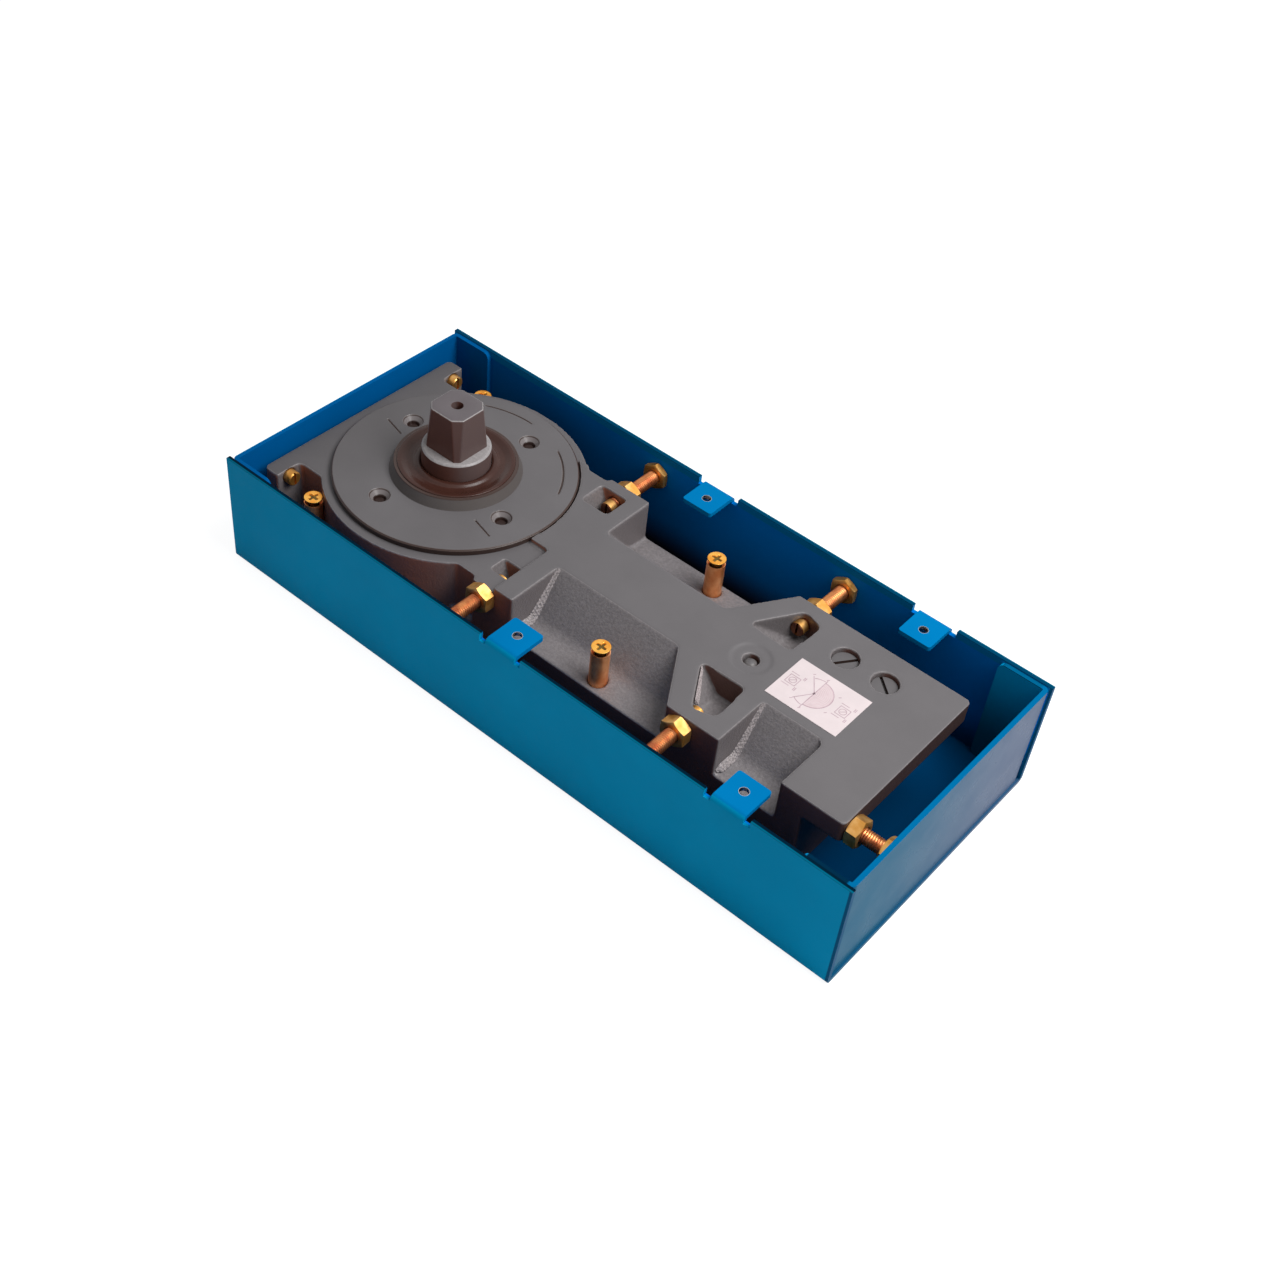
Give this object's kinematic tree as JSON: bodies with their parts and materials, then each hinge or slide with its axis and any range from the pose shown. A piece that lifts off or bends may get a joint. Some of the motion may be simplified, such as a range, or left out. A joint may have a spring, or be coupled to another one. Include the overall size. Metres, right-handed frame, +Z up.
{
  "type": "floor spring door closer",
  "caption": "Floor spring door closer: a cast hydraulic closer body with a square drive spindle, held by adjusting screws in an open sheet-steel floor box.",
  "frame": {"origin": "point on the spindle axis at the underside of the floor box", "axes": "+X along the box towards the valve end, +Y towards the box's long wall beside the two speed valves, +Z up along the spindle"},
  "size_m": [0.32, 0.136, 0.0835],
  "materials": {
    "box_paint": "satin blue paint",
    "casting_grey": "satin dark grey paint on a fine sand-cast skin",
    "spindle_steel": "dark forged steel, machined flats",
    "bright_steel": "ground steel",
    "spring_steel": "dark oil-hardened wire",
    "bush_bronze": "plain bearing bronze",
    "black_rubber": "matt nitrile rubber",
    "piston_plastic": "filled bearing plastic",
    "valve_steel": "grey plated steel",
    "label_white": "thin white foil",
    "yellow_zinc": "yellow passivated zinc"
  },
  "bodies": {
    "base": {"cement_box": "box_paint", "left_end_wall": "box_paint", "right_end_wall": "box_paint", "closer_body": "casting_grey", "head_cover": "casting_grey", "cover_ring": "black_rubber", "spindle_seal": "black_rubber", "upper_needle_bearing": "bright_steel", "thrust_bearing": "bright_steel", "rod_bush": "bush_bronze", "spring_seat": "bright_steel", "main_spring": "spring_steel", "end_plug": "bright_steel", "end_plug_ring": "black_rubber", "filler_plug": "bright_steel", "instruction_label": "label_white", "screw_lock_nuts": "yellow_zinc", "clamp_screws": "yellow_zinc"},
    "spindle_body": {"spindle": "spindle_steel", "heart_cam": "spindle_steel", "cam_key": "spindle_steel", "thrust_shaft_washer": "bright_steel"},
    "carriage": {"lower_slide_plate": "bright_steel", "upper_slide_plate": "bright_steel", "rod_block": "bright_steel", "pull_rod": "bright_steel", "piston": "bright_steel", "piston_ring": "piston_plastic", "check_valve_ball": "bright_steel", "rod_nut": "bright_steel", "main_roller_pin": "bright_steel", "return_roller_pin": "bright_steel"},
    "main_roller_body": {"main_roller": "bright_steel"},
    "return_roller_body": {"return_roller": "bright_steel"},
    "sweep_valve_body": {"sweep_valve": "valve_steel", "sweep_valve_ring": "black_rubber"},
    "latch_valve_body": {"latch_valve": "valve_steel", "latch_valve_ring": "black_rubber"},
    "side_screw_lug_front_body": {"side_screw_lug_front": "yellow_zinc"},
    "side_screw_shoulder_front_body": {"side_screw_shoulder_front": "yellow_zinc"},
    "end_screw_front_body": {"end_screw_front": "yellow_zinc"},
    "height_sleeve_corner_front_body": {"height_sleeve_corner_front": "yellow_zinc"},
    "height_sleeve_middle_front_body": {"height_sleeve_middle_front": "yellow_zinc"},
    "side_screw_lug_back_body": {"side_screw_lug_back": "yellow_zinc"},
    "side_screw_shoulder_back_body": {"side_screw_shoulder_back": "yellow_zinc"},
    "end_screw_back_body": {"end_screw_back": "yellow_zinc"},
    "height_sleeve_corner_back_body": {"height_sleeve_corner_back": "yellow_zinc"},
    "height_sleeve_middle_back_body": {"height_sleeve_middle_back": "yellow_zinc"},
    "end_screw_right_body": {"end_screw_right": "yellow_zinc"}
  },
  "joints": [
    {"name": "spindle_turn", "type": "hinge", "parent": "base", "child": "spindle_body", "pos_m": [0, 0, 0.05], "axis": [0, 0, 1], "range_deg": [0, 130], "stiffness_Nm_per_rad": 4.9},
    {"name": "carriage_slide", "type": "slide", "parent": "base", "child": "carriage", "axis": [-1, 0, 0], "range_m": [0, 0.0137], "deforming": ["main_spring"]},
    {"name": "main_roller_spin", "type": "hinge", "parent": "carriage", "child": "main_roller_body", "pos_m": [-0.023, 0, 0.0244], "axis": [0, 0, 1], "continuous": true},
    {"name": "return_roller_spin", "type": "hinge", "parent": "carriage", "child": "return_roller_body", "pos_m": [0.04185, 0, 0.0244], "axis": [0, 0, 1], "continuous": true},
    {"name": "sweep_valve_turn", "type": "hinge", "parent": "base", "child": "sweep_valve_body", "pos_m": [0.1848, 0.0266, 0.048], "axis": [0, 0, 1], "range_deg": [0, 360]},
    {"name": "latch_valve_turn", "type": "hinge", "parent": "base", "child": "latch_valve_body", "pos_m": [0.2036, 0.0266, 0.048], "axis": [0, 0, 1], "range_deg": [0, 360]},
    {"name": "side_screw_lug_front_travel", "type": "slide", "parent": "base", "child": "side_screw_lug_front_body", "axis": [0, 1, 0], "range_m": [0, 0.004]},
    {"name": "side_screw_shoulder_front_travel", "type": "slide", "parent": "base", "child": "side_screw_shoulder_front_body", "axis": [0, 1, 0], "range_m": [0, 0.004]},
    {"name": "end_screw_front_travel", "type": "slide", "parent": "base", "child": "end_screw_front_body", "axis": [-1, 0, 0], "range_m": [0, 0.004]},
    {"name": "height_sleeve_corner_front_travel", "type": "slide", "parent": "base", "child": "height_sleeve_corner_front_body", "axis": [0, 0, 1], "range_m": [0, 0.0015]},
    {"name": "height_sleeve_middle_front_travel", "type": "slide", "parent": "base", "child": "height_sleeve_middle_front_body", "axis": [0, 0, 1], "range_m": [0, 0.0015]},
    {"name": "side_screw_lug_back_travel", "type": "slide", "parent": "base", "child": "side_screw_lug_back_body", "axis": [0, -1, 0], "range_m": [0, 0.004]},
    {"name": "side_screw_shoulder_back_travel", "type": "slide", "parent": "base", "child": "side_screw_shoulder_back_body", "axis": [0, -1, 0], "range_m": [0, 0.004]},
    {"name": "end_screw_back_travel", "type": "slide", "parent": "base", "child": "end_screw_back_body", "axis": [-1, 0, 0], "range_m": [0, 0.004]},
    {"name": "height_sleeve_corner_back_travel", "type": "slide", "parent": "base", "child": "height_sleeve_corner_back_body", "axis": [0, 0, 1], "range_m": [0, 0.0015]},
    {"name": "height_sleeve_middle_back_travel", "type": "slide", "parent": "base", "child": "height_sleeve_middle_back_body", "axis": [0, 0, 1], "range_m": [0, 0.0015]},
    {"name": "end_screw_right_travel", "type": "slide", "parent": "base", "child": "end_screw_right_body", "axis": [-1, 0, 0], "range_m": [0, 0.004]}
  ],
  "couplings": [
    {"joint": "carriage_slide", "follows": "spindle_turn", "m_per_rad": 0.006}
  ]
}
